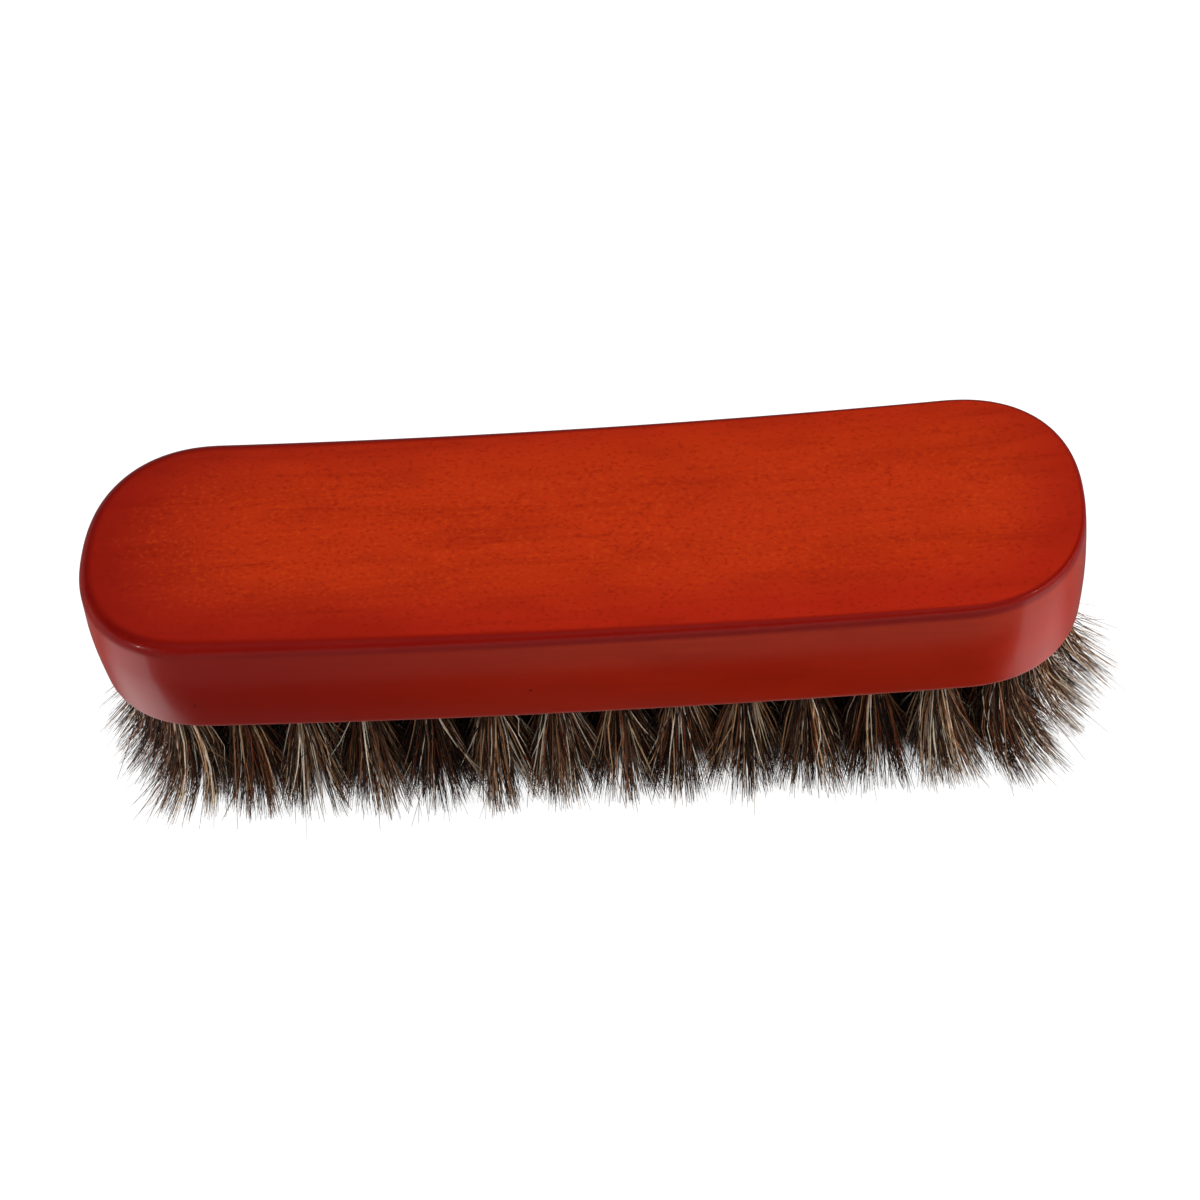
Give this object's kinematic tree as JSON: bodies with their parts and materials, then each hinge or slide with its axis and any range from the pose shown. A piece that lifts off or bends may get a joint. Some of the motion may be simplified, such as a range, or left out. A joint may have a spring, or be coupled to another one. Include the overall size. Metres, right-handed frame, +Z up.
{
  "type": "shoe shine brush",
  "caption": "Oblong shoe shine brush: a slightly bowed, red lacquered hardwood block with rounded ends, set with rows of mixed brown horsehair tufts on flat wire anchors.",
  "frame": {"origin": "on the surface that the trimmed tips rest on, under the middle of the brush", "axes": "+X along the brush, +Y across it, +Z up through the block's top. The picture is taken from -Y and above"},
  "size_m": [0.1804, 0.0508, 0.0463],
  "materials": {
    "lacquered_wood": "red brown lacquer, satin to gloss, with the grain showing through",
    "horsehair": "mixed black, brown, tan and grey horsehair",
    "anchor_wire": "flat drawn wire, cut to length"
  },
  "bodies": {
    "root": {"block": "lacquered_wood", "tuft_row_01": "horsehair", "tuft_row_02": "horsehair", "tuft_row_03": "horsehair", "tuft_row_04": "horsehair", "tuft_row_05": "horsehair", "tuft_row_06": "horsehair", "tuft_row_07": "horsehair", "tuft_row_08": "horsehair", "tuft_row_09": "horsehair", "tuft_row_10": "horsehair", "tuft_row_11": "horsehair", "tuft_row_12": "horsehair", "tuft_row_13": "horsehair", "tuft_row_14": "horsehair", "tuft_row_15": "horsehair", "tuft_row_16": "horsehair", "tuft_row_17": "horsehair", "tuft_row_18": "horsehair", "tuft_row_19": "horsehair", "tuft_row_20": "horsehair", "tuft_row_21": "horsehair", "tuft_row_22": "horsehair", "tuft_row_23": "horsehair", "tuft_row_24": "horsehair", "tuft_row_25": "horsehair", "tuft_row_26": "horsehair", "tuft_row_27": "horsehair", "tuft_row_28": "horsehair", "tuft_row_29": "horsehair", "anchor_row_01": "anchor_wire", "anchor_row_02": "anchor_wire", "anchor_row_03": "anchor_wire", "anchor_row_04": "anchor_wire", "anchor_row_05": "anchor_wire", "anchor_row_06": "anchor_wire", "anchor_row_07": "anchor_wire", "anchor_row_08": "anchor_wire", "anchor_row_09": "anchor_wire", "anchor_row_10": "anchor_wire", "anchor_row_11": "anchor_wire", "anchor_row_12": "anchor_wire", "anchor_row_13": "anchor_wire", "anchor_row_14": "anchor_wire", "anchor_row_15": "anchor_wire", "anchor_row_16": "anchor_wire", "anchor_row_17": "anchor_wire", "anchor_row_18": "anchor_wire", "anchor_row_19": "anchor_wire", "anchor_row_20": "anchor_wire", "anchor_row_21": "anchor_wire", "anchor_row_22": "anchor_wire", "anchor_row_23": "anchor_wire", "anchor_row_24": "anchor_wire", "anchor_row_25": "anchor_wire", "anchor_row_26": "anchor_wire", "anchor_row_27": "anchor_wire", "anchor_row_28": "anchor_wire", "anchor_row_29": "anchor_wire"}
  },
  "joints": []
}
